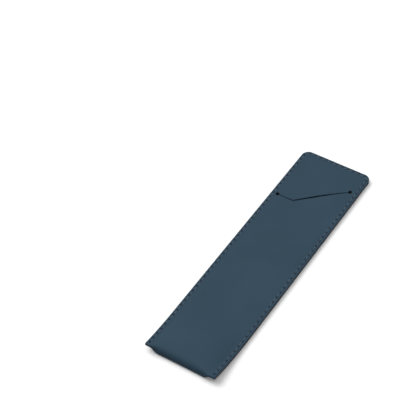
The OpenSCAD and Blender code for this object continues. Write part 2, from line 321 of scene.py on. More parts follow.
class Pattern:
    """The sleeve's cutting pattern and heights, from the settings. y is 0 at the ears and runs up to
    the length at the top edge, and x is 0 in the middle. All in metres."""

    def __init__(self, scene):
        self.form = form = scene.pen_sleeve_form
        self.mouth = mouth = scene.pen_sleeve_mouth
        self.seam = seam = scene.pen_sleeve_seam
        self.half = form.width / 2
        self.sheet = form.face_thickness + form.backing_thickness
        self.edge = 2 * self.sheet + form.glue_line
        self.seam_lift = seam.proud + seam.rest_gap
        self.flat_top = self.seam_lift + self.edge
        self.panel_half = self.half - form.margin
        self.flat_half = self.panel_half - form.back_step
        self.ear_round = self.edge / 2
        self.seam_radius = form.corner_radius - seam.inset
        self.side_run = form.length - form.corner_radius - seam.start
        self.arc_run = self.seam_radius * math.pi / 2
        self.top_run = form.width - 2 * form.corner_radius
        self.seam_run = 2 * (self.side_run + self.arc_run) + self.top_run
        self.fold_s = self.ear_round - seam.start
        self.left_hole = self.from_top(-1, mouth.left_hole_in, mouth.left_hole_down)
        self.right_hole = self.from_top(1, mouth.right_hole_in, mouth.right_hole_down)
        self.knee = self.from_top(-1, mouth.knee_in, mouth.knee_down)
        self.chord = self.right_hole - self.left_hole

    def from_top(self, side, inwards, down):
        """Place in from the left or the right edge, and down from the top edge."""
        return np.array([side * (self.half - inwards), self.form.length - down])

    def in_space(self, x, y, z):
        """Points in the frame, which has its origin under the middle of the length."""
        return np.stack([x, y - self.form.length / 2, z], axis=-1)

    def drawn_in(self, y):
        """Side draw that dies out with the square over the ear run."""
        return self.form.side_draw * dies_out(y / self.form.ear_run, 2)

    def half_width(self, y):
        """Half the width, less the side draw, and less the round of the corner near the top."""
        radius = self.form.corner_radius
        up = np.clip(y - (self.form.length - radius), 0.0, radius)
        return self.half - self.drawn_in(y) - radius + np.sqrt(radius ** 2 - up ** 2)

    def crown(self, x):
        """One less the square of the place between middle and margin, averaged over the crease."""
        limit, soft = self.panel_half, self.form.crease_softness

        def total(at):
            held = np.clip(at, -limit, limit)
            return held - held ** 3 / (3 * limit ** 2)

        return (total(x + soft) - total(x - soft)) / (2 * soft)

    def side_step(self, x):
        """Soft step of the back panel up to the side margins."""
        return smooth((np.abs(x) - self.flat_half) / (self.panel_half - self.flat_half))

    def top_step(self, y):
        """Soft step of the back panel up to the top margin."""
        form = self.form
        return smooth((y - (form.length - form.margin - form.back_step)) / form.back_step)

    def ear_rise(self, y):
        """Lift of the margins, which dies out with the cube over the ear run."""
        return self.form.ear_lift * dies_out(y / self.form.ear_run, 3)

    def margin_top(self, y):
        """Top of the margin: the flat height and the ear's rise."""
        return self.flat_top + self.ear_rise(y)

    def stretched(self, x, reach, full):
        """Outside the flat part, distances that fill the reach fill the full width instead."""
        out = self.flat_half + (np.abs(x) - self.flat_half) * (full / reach)
        return np.where(np.abs(x) <= self.flat_half, x, np.sign(x) * out)

    def column_of(self, x, y):
        """Column that a place belongs to: outside the flat part the columns follow the outline."""
        return self.stretched(x, self.half_width(y) - self.flat_half, self.half - self.flat_half)

    def column_x(self, column, y):
        """Place of a column at a height: the reverse of column_of."""
        return self.stretched(column, self.half - self.flat_half, self.half_width(y) - self.flat_half)

    def front_height(self, column, y):
        """Margin height, plus the crown times the bulge, which swells up towards the fold's round."""
        form = self.form
        margin = self.margin_top(y)
        run = (y - form.fold_tuck - form.fold_round) / form.bulge_run
        bulge = (form.fold_height - self.flat_top) * swell(run)
        return margin + (self.flat_top + bulge - margin) * self.crown(column)

    def back_height(self, column, y):
        """Seam lift and ear rise, as far as the side step or the top step has come up."""
        rise = 1.0 - (1.0 - self.side_step(column)) * (1.0 - self.top_step(y))
        return (self.seam_lift + self.ear_rise(y)) * rise

    def across_fold(self, column, middle):
        """A size of the fold's middle, going over to half the edge in the margins."""
        return self.ear_round + (middle - self.ear_round) * (1.0 - self.side_step(column))

    def fold_tip(self, column):
        """How far the fold's tip stands back from the ears."""
        return self.form.fold_tuck * self.crown(column)

    def round_depth(self, column):
        """How far back the front panel's round begins: an arc that follows the crown."""
        return self.ear_round + (self.form.fold_round - self.ear_round) * self.crown(column)

    def fold_start(self, column, front):
        """Where the fold begins, on the front or on the back panel: its tip and its reach back."""
        reach = self.round_depth(column) if front else self.across_fold(column, self.form.fold_under)
        return self.fold_tip(column) + reach

    def front(self, place, depth):
        """Front panel over places in plan, at a depth under its outer surface."""
        x, y = place[..., 0], place[..., 1]
        return self.in_space(x, y, self.front_height(self.column_of(x, y), y) - depth)

    def back(self, place, depth):
        """Back panel over places in plan, at a depth over its outer surface."""
        x, y = place[..., 0], place[..., 1]
        return self.in_space(x, y, self.back_height(self.column_of(x, y), y) + depth)

    def fold(self, column, turn, depth):
        """Two quarters for each column, which meet upright at the fold's tip: over it a superellipse of
        the fold's fullness that reaches back to the front panel's round, and under it an ellipse that
        reaches back to the underside."""
        form = self.form
        above = self.round_depth(column)
        below = self.across_fold(column, form.fold_under)
        tip = self.fold_tip(column)
        low = self.back_height(column, tip + below)
        tip_z = low + self.across_fold(column, form.fold_waist)
        over = turn <= math.pi / 2
        reach = np.where(over, above, below)
        top = self.front_height(column, tip + above)
        far = np.where(over, top - depth, 2 * tip_z - low - depth)
        part = (1.0 - np.cos(turn)) / 2
        power = np.where(over, 2.0 / form.fold_fullness, 1.0)
        x = (1.0 - part) * self.column_x(column, tip + above) + part * self.column_x(column, tip + below)
        y = tip + reach - (reach - depth) * np.sin(turn) ** power
        z = tip_z + (far - tip_z) * np.sign(np.cos(turn)) * np.abs(np.cos(turn)) ** power
        return self.in_space(x, y, z)

    def outline(self, s, inset):
        """Place at an inset from the outline beside the distance s along the seam. The corner centres
        run with s, and the place is the centre plus the rest of the corner radius along the normal."""
        radius = self.form.corner_radius
        far = self.side_run + self.arc_run + self.top_run
        left = np.clip((s - self.side_run) / self.seam_radius, 0, math.pi / 2)
        turn = left + np.clip((s - far) / self.seam_radius, 0, math.pi / 2)
        across = np.clip(s - self.side_run - self.arc_run, 0, self.top_run)
        down = np.maximum(self.side_run - s, 0) + np.maximum(s - far - self.arc_run, 0)
        x = -self.half + radius + across - (radius - inset) * np.cos(turn)
        y = self.form.length - radius - down + (radius - inset) * np.sin(turn)
        return np.stack([x - np.sign(x) * self.drawn_in(y), y], axis=-1)

    def outward(self, s):
        """Direction in plan from the sleeve outwards beside the distance s along the seam."""
        return unit(self.outline(s, 0.0) - self.outline(s, self.seam.inset))

    def needle_holes(self):
        """Lock stitch, even stitches up the side, round the top and down the side, lock stitch."""
        seam = self.seam
        sides = round((self.side_run - seam.lock_stitch) / seam.side_stitch)
        tops = round((self.seam_run - 2 * self.side_run) / seam.top_stitch)
        turn_back = self.seam_run - self.side_run
        return np.concatenate([
            [0.0],
            np.linspace(seam.lock_stitch, self.side_run, sides + 1),
            np.linspace(self.side_run, turn_back, tops + 1)[1:],
            np.linspace(turn_back, self.seam_run - seam.lock_stitch, sides + 1)[1:],
            [self.seam_run],
        ])

    def roll(self, inset):
        """Depth of the rolled cut edge: dies out with the square over its width."""
        return self.form.edge_roll * dies_out(inset / self.form.edge_roll_width, 2)

    def needle_dip(self, s, inset):
        """How deep the band is near the seam, and its painted shade: a bell-shaped dip at each needle
        hole, darkened with painted shade, and a wider and shallower pull round it."""
        seam = self.seam
        nearest = np.abs(s[:, None] - self.needle_holes()[None, :]).min(axis=1)
        far = np.hypot(nearest[:, None], (inset - seam.inset)[None, :])
        inner = smooth((DIP_LIMIT - inset) / DIP_FADE)[None, :]
        lead, tail = s - self.fold_s, self.seam_run - self.fold_s - s
        window = inner * (smooth(lead / SEAM_FADE) * smooth(tail / SEAM_FADE))[:, None]
        bell = np.exp(-((far / seam.hole_radius) ** 2) ** DIP_POWER)
        pull = np.exp(-((far / PULL_RADIUS) ** 2))
        depth = (seam.hole_depth * bell + seam.pucker * pull) * window
        # Painted shade in each needle hole's dip
        painted_shade = np.clip(bell * DIP_SHADE, 0, 1) * window
        return np.minimum(depth, DEEPEST * self.form.face_thickness), painted_shade

    def slit_line(self):
        """Upper lip: a straight short leg, a quadratic knee, and a long leg bowed by half a sine."""
        knee_a = self.knee + self.mouth.knee_round * unit(self.left_hole - self.knee)
        knee_b = self.knee + self.mouth.knee_round * unit(self.right_hole - self.knee)
        short = even(LEG_STEPS)[:-1, None]
        bend = even(KNEE_STEPS)[:-1, None]
        long = even(LONG_STEPS)[:, None]
        run = self.right_hole - knee_b
        return np.concatenate([
            self.left_hole + short * (knee_a - self.left_hole),
            (1 - bend) ** 2 * knee_a + 2 * bend * (1 - bend) * self.knee + bend ** 2 * knee_b,
            knee_b + long * run + self.mouth.bow * np.sin(math.pi * long) * left_of(unit(run)),
        ])

    def lower_lip(self):
        """Lower lip: the slit's line less the gap, which swells with the squared sine along the chord."""
        line = self.slit_line()
        along = (line - self.left_hole) @ self.chord / (self.chord @ self.chord)
        gap = self.mouth.end_gap + (self.mouth.gap - self.mouth.end_gap) * np.sin(math.pi * along) ** 2
        return line - gap[:, None] * left_of(unit(np.gradient(line, axis=0)))

    def between_holes(self, line):
        """The part of a line from one stop hole's rim to the other's, in even steps of its length."""
        radius = self.mouth.hole_diameter / 2
        length = np.concatenate([[0], np.cumsum(np.linalg.norm(np.diff(line, axis=0), axis=1))])
        from_left = np.linalg.norm(line - self.left_hole, axis=1)
        from_right = np.linalg.norm(line - self.right_hole, axis=1)
        middle = len(line) // 2
        begin = np.interp(radius, from_left[:middle], length[:middle])
        end = np.interp(radius, from_right[middle:][::-1], length[middle:][::-1])
        at = np.linspace(begin, end, LIP_STEPS + 1)
        return np.stack([np.interp(at, length, line[:, 0]), np.interp(at, length, line[:, 1])], axis=1)

    def rim_of_hole(self, centre, degrees):
        """Places on a stop hole's rim at the angles."""
        turn = np.radians(degrees)
        return centre + self.mouth.hole_diameter / 2 * np.stack([np.cos(turn), np.sin(turn)], axis=-1)

    def arc_of_hole(self, centre, begin, end):
        """Arc of a stop hole between two angles in degrees."""
        return self.rim_of_hole(centre, np.linspace(begin, end, HOLE_STEPS + 1))


def angle_of(point, centre, least):
    """Angle of a point round a centre in degrees, as the first turn that isn't less than the least."""
    degrees = math.degrees(math.atan2(point[1] - centre[1], point[0] - centre[0]))
    return degrees + 360 * math.ceil((least - degrees) / 360)


def coons(bottom, top, left, right, across, up, bend=1.0):
    """Patch between four edges. Each edge's departure from the line through its corners dies out
    towards the opposite edge: evenly from left to right, and with a power of the way from bottom to
    top. Edges are arrays of places, and across and up give the parts at which they lie."""
    u = across[None, :, None]
    w = (up ** bend)[:, None, None]
    rows = (1 - w) * bottom[None] + w * top[None]
    columns = (1 - u) * left[:, None] + u * right[:, None]
    corners = (1 - u) * ((1 - w) * bottom[0] + w * top[0]) + u * ((1 - w) * bottom[-1] + w * top[-1])
    return rows + columns - corners


def placed(name, data):
    """An object of the data, linked to the scene."""
    obj = bpy.data.objects.new(name, data)
    bpy.context.scene.collection.objects.link(obj)
    return obj


def mark(mesh, name, values):
    """Gives a mesh an attribute with a value for each point."""
    attribute = mesh.attributes.new(name, "FLOAT", "POINT")
    attribute.data.foreach_set("value", values.ravel().astype(np.float32))


def turned_outwards(mesh, weld):
    """Merges doubles where asked to, turns the faces outwards and makes them smooth."""
    sheet = bmesh.new()
    sheet.from_mesh(mesh)
    if weld:
        bmesh.ops.remove_doubles(sheet, verts=sheet.verts, dist=WELD)
        bmesh.ops.dissolve_degenerate(sheet, edges=sheet.edges, dist=WELD)
    bmesh.ops.recalc_face_normals(sheet, faces=sheet.faces)
    sheet.to_mesh(mesh)
    sheet.free()
    mesh.polygons.foreach_set("use_smooth", np.ones(len(mesh.polygons), bool))


class Skin:
    """Collects grids and strips of points, and welds them into one closed mesh."""

    def __init__(self):
        self.points, self.marks, self.quads, self.count = [], [], [], 0
        self.triangles = [np.zeros((0, 3), int)]

    def add_points(self, points, painted_shade):
        """Adds an array of points and the painted shade they carry, and gives back the first one's number.
        """
        first = self.count
        self.points.append(points.reshape(-1, 3))
        self.marks.append(np.broadcast_to(painted_shade, points.shape[:-1]).ravel())
        self.count += len(self.points[-1])
        return first

    def grid(self, points, painted_shade=0.0):
        """Four-cornered faces over rows and columns of points."""
        rows, cols = points.shape[:2]
        first = self.add_points(points, painted_shade)
        r, c = np.meshgrid(np.arange(rows - 1), np.arange(cols - 1), indexing="ij")
        corner = first + (r * cols + c).ravel()
        self.quads.append(np.stack([corner, corner + 1, corner + cols + 1, corner + cols], axis=1))

    def zipper(self, one, one_at, other, other_at, painted_shade=0.0):
        """Closes the strip between two rows of points that are spaced differently. Each step of a row
        makes a triangle with the point of the other row that lies across from the step's middle."""
        first = self.add_points(one, painted_shade)
        second = self.add_points(other, painted_shade)
        middle = (one_at[1:] + one_at[:-1]) / 2
        other_middle = (other_at[1:] + other_at[:-1]) / 2
        across = second + np.searchsorted(other_middle, middle, side="left")
        back = first + np.searchsorted(middle, other_middle, side="right")
        step = first + np.arange(len(middle))
        other_step = second + np.arange(len(other_middle))
        self.triangles.append(np.stack([step, step + 1, across], axis=1))
        self.triangles.append(np.stack([other_step + 1, other_step, back], axis=1))

    def build(self, name):
        """Makes the object: points and faces into a mesh, doubles merged, faces turned outwards, and
        edges over the sharp angle kept sharp."""
        mesh = bpy.data.meshes.new(name)
        faces = [*np.concatenate(self.quads).tolist(), *np.concatenate(self.triangles).tolist()]
        mesh.from_pydata(np.concatenate(self.points).tolist(), [], faces)
        mesh.update()
        # Painted shade of each point, which the materials mix in
        mark(mesh, "painted_shade", np.concatenate(self.marks))
        turned_outwards(mesh, True)
        mesh.set_sharp_from_angle(angle=SHARP)
        return placed(name, mesh)


class Layout:
    """Plan of the panel inside the seam band: its columns, the two edges of the mouth, and its rows."""

    def __init__(self, pattern, inset):
        self.pattern = pattern
        self.inset = inset
        self.extra = [] if inset > 0 else [PANEL_INSET]
        left, right, arc = pattern.left_hole, pattern.right_hole, pattern.arc_of_hole
        self.tilt = angle_of(right, left, -90)
        rim = pattern.mouth.hole_diameter / 2 * unit(pattern.chord)
        self.root = left + rim + even(LIP_STEPS)[:, None] * (right - rim - (left + rim))
        self.slit = pattern.between_holes(pattern.slit_line())
        self.slit_left = angle_of(self.slit[0], left, -90)
        self.slit_right = angle_of(self.slit[-1], right, 90)
        lip = pattern.between_holes(pattern.lower_lip())
        self.lower_mouth = np.concatenate([
            arc(left, 180, angle_of(lip[0], left, 180)), lip[1:],
            arc(right, angle_of(lip[-1], right, 90), 360)[1:]])
        self.upper_mouth = np.concatenate([
            arc(left, 180, self.tilt), self.root[1:], arc(right, 180 + self.tilt, 0)[1:]])
        self.left_s = left[1] - pattern.seam.start
        self.right_s = pattern.seam_run - (right[1] - pattern.seam.start)
        self.left_turn = pattern.side_run + pattern.arc_run / 2
        self.right_turn = pattern.seam_run - self.left_turn
        self.end_s = pattern.seam_run - pattern.fold_s

    def to_sides(self, middle):
        """Joins an edge of the mouth to the panel's sides, level with the stop holes."""
        outline = self.pattern.outline
        left = [outline(np.array([self.left_s]), inset) for inset in [self.inset, *self.extra]]
        far = outline(np.array([self.right_s]), PANEL_INSET)
        right = middle[-1] + even(RIGHT_STEPS)[1:, None] * (far - middle[-1])
        edge = [outline(np.array([self.right_s]), self.inset)] if self.extra else []
        return np.concatenate([*left, middle, right, *edge])

    def column_at(self, inset):
        """Column of the side at an inset, where the fold begins."""
        side = self.pattern.outline(np.array([self.pattern.fold_s]), inset)
        return abs(self.pattern.column_of(side[:, 0], np.array([self.pattern.ear_round]))[0])

    def fold_columns(self):
        """Even columns between the sides of the panel, with the outline's own where it is the edge."""
        side = self.column_at(PANEL_INSET)
        columns = np.linspace(-side, side, 2 * HOLE_STEPS + LIP_STEPS + RIGHT_STEPS + 2)
        edge = [self.column_at(0.0)] if self.extra else []
        return np.concatenate([np.negative(edge), columns, edge])

    def fold_edge(self, front):
        """Each column's place where the fold begins, on the front or on the back panel, and its part of
        the way across."""
        columns = self.fold_columns()
        start = self.pattern.fold_start(columns, front)
        x = self.pattern.column_x(columns, start)
        return np.stack([x, start], axis=1), (x - x[0]) / (x[-1] - x[0])

    def top_edge(self, count):
        """Even places along the top, from the middle of one corner to the middle of the other."""
        s = np.linspace(self.left_turn, self.right_turn, count)
        return s, self.pattern.outline(s, self.inset)

    def patch(self, bottom, top, left_s, right_s, part, up, bend=1.0):
        """Patch from one edge to another, between the sides at their distances along the seam."""
        left = self.pattern.outline(left_s, self.inset)
        return coons(bottom, top, left, self.pattern.outline(right_s, self.inset), part, up, bend)


def patches_of_front(layout, rows_low, rows_high, lip_rows):
    """Lower and upper patch of the front panel in plan, with the distance along the seam of their
    side edges. Rows crowd towards the fold and the mouth, and a few follow the lips closely."""
    pattern = layout.pattern
    up = even(rows_low) - CROWDING * np.sin(2 * math.pi * even(rows_low)) / (2 * math.pi)
    up_high = even(rows_high)
    if lip_rows:
        room = pattern.form.length - pattern.right_hole[1]
        up = np.concatenate([up[:-1], 1 - LIP_ROWS[::-1] / pattern.left_hole[1], [1.0]])
        up_high = np.concatenate([[0.0], LIP_ROWS / room, up_high[1:]])
    bottom, part = layout.fold_edge(True)
    left_low = pattern.fold_s + up * (layout.left_s - pattern.fold_s)
    right_low = layout.end_s + up * (layout.right_s - layout.end_s)
    mouth = layout.to_sides(layout.lower_mouth)
    lower = layout.patch(bottom, mouth, left_low, right_low, part, up, FOLD_BEND)
    left_high = layout.left_s + up_high * (layout.left_turn - layout.left_s)
    right_high = layout.right_s + up_high * (layout.right_turn - layout.right_s)
    top_s, top = layout.top_edge(len(bottom))
    upper = layout.patch(layout.to_sides(layout.upper_mouth), top, left_high, right_high, part, up_high)
    rim_s = np.concatenate([left_low, left_high[1:], top_s[1:], right_high[::-1][1:], right_low[::-1][1:]])
    return lower, upper, up, up_high, rim_s


def patch_of_back(layout, rows):
    """Back panel in plan, in one patch from the fold to the top, with rows crowding to the fold."""
    up = even(rows) ** BACK_CROWDING
    bottom, part = layout.fold_edge(False)
    left_s = layout.pattern.fold_s + up * (layout.left_turn - layout.pattern.fold_s)
    right_s = layout.end_s + up * (layout.right_turn - layout.end_s)
    top_s, top = layout.top_edge(len(bottom))
    patch = layout.patch(bottom, top, left_s, right_s, part, up, FOLD_BEND)
    return patch, np.concatenate([left_s, top_s[1:], right_s[::-1][1:]])


def rim_of(*grids):
    """Outer edge of the panel in order: up the left side, across the top and down the right side."""
    grid = np.concatenate([grids[0], *(above[1:] for above in grids[1:])])
    return np.concatenate([grid[:, 0], grid[-1, 1:], grid[::-1, -1][1:]])


def borders(front, back, fold, turn, low, high, hole):
    """The edges that a wall has to meet, with where their points lie."""
    return {
        "front": front, "back": back, "left": (fold[:, 0], turn), "right": (fold[:, -1], turn),
        "low": low[-1, hole], "high": high[0, hole],
    }


def plain_skin(skin, pattern, depth, painted_shade=0.0):
    """One hidden side of a ply at an even depth: the front panel with its mouth, the fold and the
    back panel, out to the cut edge. It carries the given painted shade all over, but for its rim."""
    layout = Layout(pattern, 0.0)
    lower, upper, _, _, rim_s = patches_of_front(layout, HIDDEN_ROWS, HIDDEN_ROWS // 3, False)
    low, high = pattern.front(lower, depth), pattern.front(upper, depth)
    back_plan, back_s = patch_of_back(layout, HIDDEN_ROWS)
    back = pattern.back(back_plan, depth)
    turn = np.linspace(0, math.pi, FOLD_STEPS // 2 + 1)
    fold = pattern.fold(layout.fold_columns()[None, :], turn[:, None], depth)
    for grid in (low, high, back, fold):
        shade = np.full(grid.shape[1], painted_shade)
        shade[[0, -1]] = 0.0
        skin.grid(grid, shade)
    hole = slice(2, -(RIGHT_STEPS + 1))
    return borders((rim_of(low, high), rim_s), (rim_of(back), back_s), fold, turn, low, high, hole)


def worked_skin(skin, pattern):
    """Outer side of the face ply: the seam band on both panels, with the dips of the needle holes and
    the rolled cut edge, the panels inside it, and the fold."""
    layout = Layout(pattern, PANEL_INSET)
    holes = pattern.needle_holes()
    steps = (holes[:-1, None] + STITCH_PARTS[None, :] * np.diff(holes)[:, None]).ravel()
    lead = np.linspace(pattern.fold_s, 0, LEAD_STEPS + 1)[:-1]
    s = np.concatenate([lead, steps, [pattern.seam_run], (pattern.seam_run - lead)[::-1]])
    band = pattern.outline(s[:, None], BAND_ACROSS[None, :])
    roll = pattern.roll(BAND_ACROSS)
    # Painted shade along the cut edge, where the face rolls down
    shade = CUT_SHADE * dies_out(BAND_ACROSS / CUT_REACH, 1)
    depth, painted_shade = pattern.needle_dip(s, BAND_ACROSS)
    front_band, back_band = pattern.front(band, depth + roll), pattern.back(band, depth + roll)
    skin.grid(front_band, np.maximum(painted_shade, shade))
    skin.grid(back_band, np.maximum(painted_shade, shade))

    lower, upper, up, up_high, rim_s = patches_of_front(layout, LOWER_ROWS, UPPER_ROWS, True)
    on_lip = np.zeros(lower.shape[1])
    on_lip[1:-RIGHT_STEPS] = 1.0
    on_rim = on_lip.copy()
    on_rim[HOLE_STEPS + 2:-(RIGHT_STEPS + HOLE_STEPS + 1)] = 0.0
    room = pattern.form.length - pattern.right_hole[1]
    low_roll = dies_out((1 - up) * pattern.left_hole[1] / LIP_ROLL_WIDTH, 2)[:, None] * on_lip
    high_roll = dies_out(up_high * room / LIP_ROLL_WIDTH, 2)[:, None] * on_rim
    low = pattern.front(lower, pattern.mouth.lip_roll * low_roll)
    high = pattern.front(upper, pattern.mouth.lip_roll * high_roll)
    # Painted shade on the rolled lips of the slit
    skin.grid(low, LIP_SHADE * low_roll)
    skin.grid(high, LIP_SHADE * high_roll)
    skin.zipper(front_band[:, -1], s, rim_of(low, high), rim_s)

    back_plan, back_s = patch_of_back(layout, BACK_ROWS)
    back = pattern.back(back_plan, 0.0)
    skin.grid(back)
    skin.zipper(back_band[:, -1], s, rim_of(back), back_s)

    edge = pattern.outline(np.array([pattern.fold_s]), BAND_ACROSS)
    side = pattern.column_of(edge[:, 0], edge[:, 1])
    middle = layout.fold_columns()
    columns = np.concatenate([side, middle, -side[::-1]])
    turn = np.linspace(0, math.pi, FOLD_STEPS + 1)
    flat = np.zeros(len(middle))
    fold = pattern.fold(columns[None, :], turn[:, None], np.concatenate([roll, flat, roll[::-1]]))
    skin.grid(fold, np.concatenate([shade, flat, shade[::-1]]))
    front, back = (front_band[:, 0], s), (back_band[:, 0], s)
    return borders(front, back, fold, turn, low, high, slice(1, -RIGHT_STEPS))


def join_skins(skin, outer, inner, painted_shade, painted_lip_shade):
    """Walls between two sides of a ply: round the cut edge, round both ends of the fold, and inside
    the mouth, where both sides have the same points."""
    for edge in ("front", "back", "left", "right"):
        skin.zipper(*outer[edge], *inner[edge], painted_shade)
    for lip in ("low", "high"):
        skin.grid(np.stack([outer[lip], inner[lip]]), painted_lip_shade)


def tongue_skin(skin, pattern, layout, depth, rolled, painted_shade):
    """One side of the tongue: a patch between the slit's line and the line of the stop holes, closed
    at both ends by the rims of the holes, and rolled down along the lip. Gives back its border."""
    up = np.concatenate([TONGUE_PARTS, np.linspace(TONGUE_REST, 1, TONGUE_ROWS)])
    left_turn = layout.tilt - layout.slit_left
    right_turn = 180 + layout.tilt - layout.slit_right
    left = pattern.rim_of_hole(pattern.left_hole, layout.slit_left + up * left_turn)
    right = pattern.rim_of_hole(pattern.right_hole, layout.slit_right + up * right_turn)
    plan = coons(layout.slit, layout.root, left, right, even(LIP_STEPS), up)
    off = np.linalg.norm(plan - plan[:1], axis=-1)
    roll = dies_out(off / LIP_ROLL_WIDTH, 2) * rolled
    grid = pattern.front(plan, depth + pattern.mouth.lip_roll * roll)
    # Painted shade on the rolled lip, and over the whole side where one is given
    skin.grid(grid, np.maximum(LIP_SHADE * roll, painted_shade))
    return np.concatenate([grid[0], grid[1:, -1], grid[-1, ::-1][1:], grid[::-1, 0][1:]])


def tongue_ply(name, pattern, depth_out, depth_in, rolled, painted_shade):
    """The tongue's part of a ply between two depths: two sides and the wall round them."""
    layout = Layout(pattern, PANEL_INSET)
    skin = Skin()
    outer = tongue_skin(skin, pattern, layout, depth_out, rolled, 0.0)
    inner = tongue_skin(skin, pattern, layout, depth_in, 0.0, painted_shade)
    skin.grid(np.stack([outer, inner]), painted_shade)
    obj = skin.build(name)
    start = pattern.left_hole - np.array([0, pattern.form.length / 2])
    end = start - pattern.mouth.curl * left_of(unit(pattern.chord))
    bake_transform(obj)
    return obj


def stitches(name, pattern, side):
    """One closed bar for each stitch. Its middle line rises out of one needle hole, runs level just
    over the leather and goes down the next: with the way from the middle raised to the arch's power,
    the height is one less that, raised to one over the power. It leans across the seam, and its section
    is round."""
    seam = pattern.seam
    holes = pattern.needle_holes()
    s = ((holes[1:] + holes[:-1])[:, None] + np.diff(holes)[:, None] * RINGS) / 2
    arch = (1 - np.abs(RINGS) ** seam.arch) ** (1 / seam.arch)
    height = (seam.proud - seam.bed - seam.thread / 2 + seam.sink) * arch - seam.sink
    out = pattern.outward(s)
    seat = pattern.outline(s, seam.inset) + out * (seam.slant * RINGS)[:, None]
    top = pattern.margin_top(seat[..., 1])
    z = top + height if side > 0 else top - pattern.edge - height
    centre = pattern.in_space(seat[..., 0], seat[..., 1], z)
    across = np.concatenate([out, np.zeros_like(out[..., :1])], axis=-1)
    rise = unit(np.cross(unit(np.gradient(centre, axis=1)), across))
    turn = np.linspace(0, 2 * math.pi, THREAD_SIDES, endpoint=False)
    ring = across[:, :, None] * np.cos(turn)[:, None] + rise[:, :, None] * np.sin(turn)[:, None]
    points = centre[:, :, None] + seam.thread / 2 * ring
    numbers = np.arange(points[..., 0].size).reshape(points.shape[:3])
    beside = np.roll(numbers, -1, axis=2)
    quads = np.stack([numbers[:, :-1], beside[:, :-1], beside[:, 1:], numbers[:, 1:]], axis=-1)
    faces = [*quads.reshape(-1, 4).tolist(), *numbers[:, 0, ::-1].tolist(), *numbers[:, -1].tolist()]
    mesh = bpy.data.meshes.new(name)
    mesh.from_pydata(points.reshape(-1, 3).tolist(), [], faces)
    mesh.update()
    turned_outwards(mesh, False)
    # Painted shade towards both ends, where the thread dives into its needle hole
    ends = smooth((np.abs(RINGS) - seam.ends) / (1.0 - seam.ends) * END_SHADE)
    for label, values in (("along", s[..., None]), ("round", turn), ("painted_shade", ends[:, None])):
        mark(mesh, label, np.broadcast_to(values, numbers.shape))
    return placed(name, mesh)


def feed(tree, node, inputs):
    """Links each given socket to its input, or sets the input to the given number, colour or direction."""
    for name, value in inputs.items():
        socket = node.inputs[name]
        if isinstance(value, bpy.types.NodeSocket):
            tree.links.new(value, socket)
        else:
            socket.default_value = (*value, 1.0) if socket.type == "RGBA" else value


def add_node(tree, kind, inputs, output=0, **settings):
    """Adds a shader node with its settings and inputs, and gives back one of its outputs."""
    node = tree.nodes.new("ShaderNode" + kind)
    for name, value in settings.items():
        setattr(node, name, value)
    feed(tree, node, inputs)
    return node.outputs[output]


def new_material(name):
    """An empty node material with its output and a Principled shader, and the tree to add to."""
    material = bpy.data.materials.new(name)
    material.use_nodes = True
    tree = material.node_tree
    tree.nodes.clear()
    shader = tree.nodes.new("ShaderNodeBsdfPrincipled")
    feed(tree, tree.nodes.new("ShaderNodeOutputMaterial"), {"Surface": shader.outputs["BSDF"]})
    return material, tree, shader


def maths(tree, operation, *values, clamp=False):
    """A Math node over sockets or numbers."""
    return add_node(tree, "Math", dict(enumerate(values)), operation=operation, use_clamp=clamp)


def mixed(tree, factor, first, second):
    """A mix of two colours."""
    return add_node(tree, "Mix", {0: factor, 6: first, 7: second}, 2, data_type="RGBA")


def noise(tree, place, scale, detail, roughness):
    """A Noise texture. Its scale is one over the size of a feature in metres."""
    inputs = {"Vector": place, "Scale": scale, "Detail": detail, "Roughness": roughness}
    return add_node(tree, "TexNoise", inputs, "Fac")


def bump(tree, height, distance, strength, **under):
    """A Bump node over a height socket, on top of another bump's Normal if one is given."""
    inputs = {"Height": height, "Distance": distance, "Strength": strength, **under}
    return add_node(tree, "Bump", inputs, "Normal")


def object_place(tree):
    """The object coordinates socket."""
    return add_node(tree, "TexCoord", {}, "Object")


def attribute(tree, name):
    """A point attribute's value socket."""
    return add_node(tree, "Attribute", {}, "Fac", attribute_name=name)


def seen_rays(tree):
    """One for rays that show a thing to the camera, by gloss and through glass too, and else nothing."""
    rays = tree.nodes.new("ShaderNodeLightPath").outputs
    seen = maths(tree, "ADD", rays["Is Camera Ray"], rays["Is Glossy Ray"])
    return maths(tree, "ADD", seen, rays["Is Transmission Ray"], clamp=True)


def times(colour, part):
    """A colour times a number, up to white."""
    return tuple(min(1.0, part * value) for value in colour)


def face_material(finish):
    """Coated leather: a fine pebbled grain, a broad cloudiness in colour and gloss, and painted shade in
    the needle holes, on the lips of the slit and along the cut edges."""
    material, tree, shader = new_material("coated_face")
    place = object_place(tree)
    pebbles = {"Vector": place, "Scale": 1.0 / finish.grain, "Smoothness": 0.6}
    cells = add_node(tree, "TexVoronoi", pebbles, "Distance", feature="SMOOTH_F1")
    fine = noise(tree, place, 0.6 / finish.grain, 4.0, 0.6)
    height = maths(tree, "MULTIPLY_ADD", cells, -0.8, fine)
    cloud = noise(tree, place, CLOUD, 3.0, 0.55)
    tone = maths(tree, "MULTIPLY_ADD", noise(tree, place, BROAD, 2.0, 0.5), 0.7, -0.5)
    tone = maths(tree, "MULTIPLY_ADD", cloud, 0.3, tone)
    lift = maths(tree, "MULTIPLY_ADD", tone, COLOUR_SPREAD, 1.0)
    base = add_node(tree, "VectorMath", {0: finish.face, "Scale": lift}, operation="SCALE")
    soft = bump(tree, cloud, CLOUD_DEPTH, 0.35)
    feed(tree, shader, {
        # Painted shade, mixed in as the mesh marks it
        "Base Color": mixed(tree, attribute(tree, "painted_shade"), base, finish.painted_shade_colour),
        "Roughness": maths(tree, "MULTIPLY_ADD", tone, GLOSS_SPREAD, finish.roughness),
        "Specular IOR Level": 0.06,
        "Normal": bump(tree, height, finish.grain_depth, 1.0, Normal=soft),
    })
    return material


